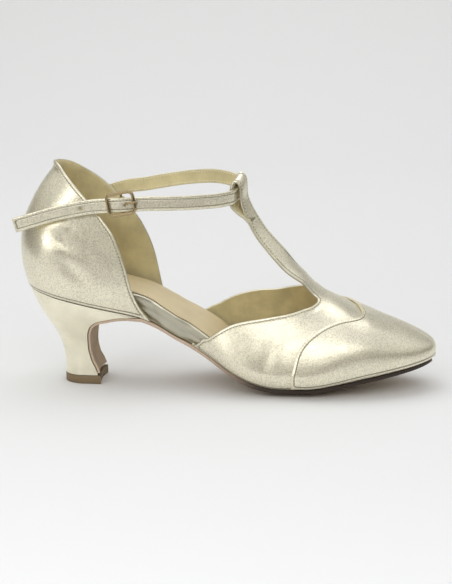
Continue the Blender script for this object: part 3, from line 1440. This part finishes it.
class ShoeLooks(bpy.types.PropertyGroup):
    """Sizes and colours of the shoe's finish"""

    stitch_pitch: length_prop("Stitch pitch", "Distance from one stitch to the next", 0.0019)
    stitch_length: length_prop("Stitch length", "Visible length of one stitch", 0.0014)
    thread_radius: length_prop("Thread radius", "Half thickness of the thread", 0.00026)
    grain_size: length_prop("Grain size", "Size of one pebble of the leather's grain", 0.0007)
    crease_depth: FloatProperty(
        name="Crease depth", default=1.0, min=0, max=3,
        description="Depth of the worn creases, as a share of that placed by hand")
    leather: colour_prop("Leather", "Champagne metallic leather", (0.95, 0.90, 0.72))
    raw_edge: colour_prop("Raw edge", "Cut edge of the leather", (0.78, 0.70, 0.50))
    lining: colour_prop("Lining", "Pale yellow suede lining", (0.80, 0.70, 0.40))
    sock: colour_prop("Sock", "Beige leather that the foot stands on", (0.72, 0.60, 0.37))
    sole_leather: colour_prop("Sole leather", "Brown leather under the shoe", (0.52, 0.40, 0.27))
    waist_edge: colour_prop("Waist edge", "Edge of the sole under the arch", (0.72, 0.55, 0.40))
    inked_edge: colour_prop(
        "Inked edge", "Edge of the sole round the forepart", (0.035, 0.02, 0.012))
    tip: colour_prop("Heel tip", "Brown top piece of the heel", (0.24, 0.17, 0.09))
    buckle: colour_prop("Buckle", "Aged bronze of the buckle", (0.40, 0.31, 0.17))
    thread: colour_prop("Thread", "Thread of the seams", (0.85, 0.79, 0.60))
    floor: colour_prop("Floor", "Pale paper under the shoe", (0.80, 0.805, 0.81))
    surround_strength: FloatProperty(
        name="Surround strength", default=1.0, min=0, description="Strength of the room's light")
    overhead_power: power_prop("Overhead light", "Power of the softbox over the shoe", 10)
    key_power: power_prop("Front light", "Power of the softbox in front on the left", 0.8)
    window_power: power_prop(
        "Window light", "Power of the low window on the left of the camera", 2.2)
    table_power: power_prop("Table light", "Power of the lamp over the front of the table", 1.2)


class SHOE_OT_vamp(bpy.types.Operator):
    """Vamp with its T-strap, from the topline to the tip of the toe"""

    bl_idname = "shoe.vamp"
    bl_label = "Vamp"
    bl_options = {"REGISTER", "UNDO"}

    def execute(self, context):
        make_vamp()
        return {"FINISHED"}


class SHOE_OT_toe_piece(bpy.types.Operator):
    """Leather laid over the toe"""

    bl_idname = "shoe.toe_piece"
    bl_label = "Toe Piece"
    bl_options = {"REGISTER", "UNDO"}

    def execute(self, context):
        make_toe_piece()
        return {"FINISHED"}


class SHOE_OT_quarter(bpy.types.Operator):
    """Upper round the heel of the foot"""

    bl_idname = "shoe.quarter"
    bl_label = "Heel Part"
    bl_options = {"REGISTER", "UNDO"}

    def execute(self, context):
        make_quarter()
        return {"FINISHED"}


class SHOE_OT_ankle_strap(bpy.types.Operator):
    """Strap round the ankle, through the loop of the T-strap"""

    bl_idname = "shoe.ankle_strap"
    bl_label = "Ankle Strap"
    bl_options = {"REGISTER", "UNDO"}

    def execute(self, context):
        make_ankle_strap()
        return {"FINISHED"}


class SHOE_OT_insole(bpy.types.Operator):
    """Covered insole board and the sock on it"""

    bl_idname = "shoe.insole"
    bl_label = "Insole and Sock"
    bl_options = {"REGISTER", "UNDO"}

    def execute(self, context):
        make_insole()
        return {"FINISHED"}


class SHOE_OT_outsole(bpy.types.Operator):
    """Sole leather from the foot of the heel to the toe"""

    bl_idname = "shoe.outsole"
    bl_label = "Outsole"
    bl_options = {"REGISTER", "UNDO"}

    def execute(self, context):
        make_outsole()
        return {"FINISHED"}


class SHOE_OT_heel(bpy.types.Operator):
    """Covered flared heel and its top piece"""

    bl_idname = "shoe.heel"
    bl_label = "Heel and Tip"
    bl_options = {"REGISTER", "UNDO"}

    def execute(self, context):
        make_heel()
        return {"FINISHED"}


class SHOE_OT_buckle(bpy.types.Operator):
    """Metal and leather of the buckle"""

    bl_idname = "shoe.buckle"
    bl_label = "Buckle"
    bl_options = {"REGISTER", "UNDO"}

    def execute(self, context):
        make_buckle()
        return {"FINISHED"}


class SHOE_OT_stitching(bpy.types.Operator):
    """Rows of stitches along the edges and the toe seam"""

    bl_idname = "shoe.stitching"
    bl_label = "Stitching"
    bl_options = {"REGISTER", "UNDO"}

    def execute(self, context):
        make_stitching()
        return {"FINISHED"}


class SHOE_OT_stage(bpy.types.Operator):
    """Floor, lights and camera"""

    bl_idname = "shoe.stage"
    bl_label = "Stage"
    bl_options = {"REGISTER", "UNDO"}

    def execute(self, context):
        make_stage()
        return {"FINISHED"}


class SHOE_PT_looks(bpy.types.Panel):
    """Sizes and colours of the shoe, and the pieces to make"""

    bl_label = "Ballroom Shoe"
    bl_space_type = "VIEW_3D"
    bl_region_type = "UI"
    bl_category = "Shoe"

    def draw(self, context):
        looks = context.scene.shoe_looks
        column = self.layout.column()
        for name in ShoeLooks.__annotations__:
            column.prop(looks, name)
        for operator in OPERATORS:
            column.operator(operator.bl_idname)


OPERATORS = (
    SHOE_OT_vamp,
    SHOE_OT_toe_piece,
    SHOE_OT_quarter,
    SHOE_OT_ankle_strap,
    SHOE_OT_insole,
    SHOE_OT_outsole,
    SHOE_OT_heel,
    SHOE_OT_buckle,
    SHOE_OT_stitching,
    SHOE_OT_stage,
)
CLASSES = (ShoeLooks, *OPERATORS, SHOE_PT_looks)


def register():
    for item in CLASSES:
        bpy.utils.register_class(item)
    bpy.types.Scene.shoe_looks = PointerProperty(type=ShoeLooks)


def unregister():
    del bpy.types.Scene.shoe_looks
    for item in reversed(CLASSES):
        bpy.utils.unregister_class(item)


def corners(bounds):
    return [[float(value) for value in corner] for corner in bounds]


def main():
    cad_box = corners(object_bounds())
    register()
    bpy.ops.shoe.vamp()
    bpy.ops.shoe.toe_piece()
    bpy.ops.shoe.quarter()
    bpy.ops.shoe.ankle_strap()
    bpy.ops.shoe.insole()
    bpy.ops.shoe.outsole()
    bpy.ops.shoe.heel()
    bpy.ops.shoe.buckle()
    bpy.ops.shoe.stitching()
    bpy.ops.shoe.stage()
    {"cad": cad_box, "visual": corners(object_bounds())}


if __name__ == "__main__":
    main()
